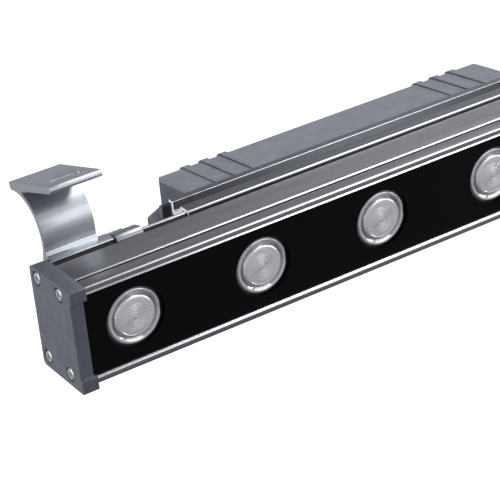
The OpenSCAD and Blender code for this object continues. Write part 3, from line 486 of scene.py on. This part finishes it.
def lensStations():
    span = lens["rimFoot"] - lens["neckFoot"]
    points = [(lens["neckRadius"], lens["neckFoot"])]
    for i in range(1, lens["flankSteps"] + 1):
        t = i / lens["flankSteps"]
        bulge = (lens["bulgeRadius"] - lens["neckRadius"]) * math.sin(t * math.pi / 2)
        points.append((lens["neckRadius"] + bulge + (lens["flankRadius"] - lens["bulgeRadius"]) * t * t,
                       lens["neckFoot"] + span * t))
    rim, ridge, groove = lens["rimRadius"], lens["ridgeRadius"], lens["grooveRadius"]
    wallTop = lens["rimFoot"] + lens["rimWall"]
    points += [(rim - lens["rimEdge"], lens["rimFoot"]), (rim, lens["rimFoot"] + lens["rimEdge"]), (rim, wallTop)]
    slope = lens["rimSlope"]            # the rim's outer slope, rounded onto its ridge
    for inShare, upShare in lens["rimSteps"]:
        points.append((rim - slope * inShare, wallTop + (lens["rimTop"] - wallTop) * upShare))
    points += [(rim - slope - lens["rimEdge"], lens["rimTop"] - lens["ridgeDrop"]), (ridge, lens["rimTop"])]
    drop = lens["rimTop"] - lens["grooveUp"]
    for i in range(1, lens["grooveSteps"] + 1):     # then down into the groove
        t = i / lens["grooveSteps"]
        points.append((ridge - (ridge - groove) * t, lens["rimTop"] - drop * t ** lens["grooveSweep"]))
    shoulder = lens["discShoulder"]
    shoulderFoot = lens["discRadius"] - shoulder
    shoulderTop = lens["discTop"] - lens["discDome"]
    for angle in lens["shoulderAngles"]:            # up round the disc's shoulder
        turn = math.radians(angle)
        points.append((shoulderFoot + shoulder * math.cos(turn),
                       lens["grooveUp"] + (shoulderTop - lens["grooveUp"]) * math.sin(turn)))
    radius = shoulderFoot
    crown = shoulderTop - lens["ringDepth"]
    while radius > lens["centreRadius"]:            # and in over the domed, ringed disc
        rise = crown + lens["discDome"] * (1 - (radius / shoulderFoot) ** 2)
        points.append((radius, rise))
        points.append((radius - lens["ringPitch"] / 2, rise + lens["ringDepth"]))
        radius -= lens["ringPitch"]
    return points


def addLenses():
    first = turned("lensShape", lensStations())
    bpy.context.view_layer.objects.active = first
    bpy.ops.object.mode_set(mode="EDIT")
    bpy.ops.mesh.select_all(action="SELECT")
    bpy.ops.mesh.bisect(plane_co=(lens["flat"] * mm, 0, 0), plane_no=(1, 0, 0), use_fill=True, clear_outer=True)
    bpy.ops.object.mode_set(mode="OBJECT")
    bpy.ops.object.shade_smooth_by_angle(angle=math.radians(lens["smoothUnder"]))
    for skin in (finishes["lens"], frostedDisc, clearGroove):
        first.data.materials.append(skin)
    for face in first.data.polygons:
        reach = face.center.xy.length / mm
        if face.center.z > lens["rimFoot"] * mm and reach < lens["grooveEdge"]:
            face.material_index = 1 if reach < lens["discEdge"] else 2
    optics = [first]
    for i in range(1, lamp["lensCount"]):
        piece = first.copy()
        piece.data = first.data.copy()
        bpy.context.scene.collection.objects.link(piece)
        optics.append(piece)
    for i, piece in enumerate(optics):
        piece.name = f"lens{i + 1}Optic"
        x = lamp["length"] / 2 + (i - (lamp["lensCount"] - 1) / 2) * lamp["lensPitch"]
        piece.data.transform(lampPlace(x, lamp["boardFront"], lamp["lensUp"]))
        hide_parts(f"lens_{i + 1}")
        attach(piece, "lamp")


addLenses()
print("lenses turned:", lamp["lensCount"])


# pale floor, a dim room and a few large soft lights
studio = {
    "floorDrop": 1.6,
    "floorSize": 40,
    "backdrop": "#ffffff",
    # what the metal mirrors: height of a direction, -1 down to 1 up, and the room's colour there
    "room": [(-0.95, "#232426"), (-0.66, "#8e9095"), (-0.24, "#a2a3a8"),
             (0.24, "#b2b3b7"), (0.66, "#909196"), (1.0, "#6e7075")],
    "strength": 1.0,
}


def addStudio():
    bpy.ops.mesh.primitive_plane_add(size=studio["floorSize"], location=(0, 0, -studio["floorDrop"]))
    floor = bpy.context.object
    floor.name = "paleFloor"
    material, tree, shader = newMaterial("palePaper", "#f4f4f4", 0.9)
    shader.inputs["Emission Color"].default_value = hexColor(studio["backdrop"])
    shader.inputs["Emission Strength"].default_value = 1.0
    floor.data.materials.append(material)
    floor.visible_glossy = False        # the metal would mirror it from below
    floor.visible_diffuse = False
    world = bpy.data.worlds.new("whiteStudio")
    bpy.context.scene.world = world
    world.use_nodes = True
    tree = world.node_tree
    tree.nodes.clear()
    path = addNode(tree, "ShaderNodeLightPath")
    seen = addNode(tree, "ShaderNodeBackground", values={"Color": hexColor(studio["backdrop"]), "Strength": 1.0})
    coords = addNode(tree, "ShaderNodeTexCoord")
    split = addNode(tree, "ShaderNodeSeparateXYZ", links={"Vector": coords.outputs["Generated"]})
    height = addNode(tree, "ShaderNodeMapRange", links={"Value": split.outputs["Z"]},
                     values={"From Min": -1.0, "From Max": 1.0})
    ramp = addNode(tree, "ShaderNodeValToRGB", links={"Fac": height.outputs["Result"]})
    bands = ramp.color_ramp.elements
    while len(bands) < len(studio["room"]):
        bands.new(0.5)
    for band, (level, colour) in zip(bands, studio["room"]):
        band.position, band.color = (level + 1) / 2, hexColor(colour)
    around = addNode(tree, "ShaderNodeBackground", links={"Color": ramp.outputs["Color"]},
                     values={"Strength": studio["strength"]})
    mix = addNode(tree, "ShaderNodeMixShader", links={
        0: path.outputs["Is Camera Ray"], 1: around.outputs["Background"], 2: seen.outputs["Background"]})
    addNode(tree, "ShaderNodeOutputWorld", links={"Surface": mix.outputs["Shader"]})


# name: place, aim, size along its own X and Y, brightness of its face
lights = {
    "overheadSoftbox": ((0.95, -0.55, 1.5), (0.95, -0.55, 0), (1.1, 2.1), 4.2),
    "frontSoftbox": ((0.95, -1.8, 0.3), (0, 0, -0.06), (1.7, 0.9), 1.8),
    "leftSoftbox": ((-1.9, 0.2, 0.5), (0, 0, -0.06), (3.0, 2.2), 1.7),
    "rightSoftbox": ((1.9, -0.75, -0.05), (0, 0, -0.06), (0.7, 0.6), 5.0),
}


def addLight(name, place, aim, size, glow):
    bpy.ops.object.light_add(type="AREA", location=place)
    light = bpy.context.object
    light.name = name
    light.rotation_euler = (Vector(aim) - Vector(place)).to_track_quat("-Z", "Y").to_euler()
    light.data.shape = "RECTANGLE"
    light.data.size, light.data.size_y = size
    light.data.energy = glow * math.pi * size[0] * size[1]
    light.visible_camera = False


addStudio()
for lightName, (place, aim, size, glow) in lights.items():
    addLight(lightName, place, aim, size, glow)
bpy.context.scene.view_settings.view_transform = "Standard"
print("studio lit:", len(lights), "lights")
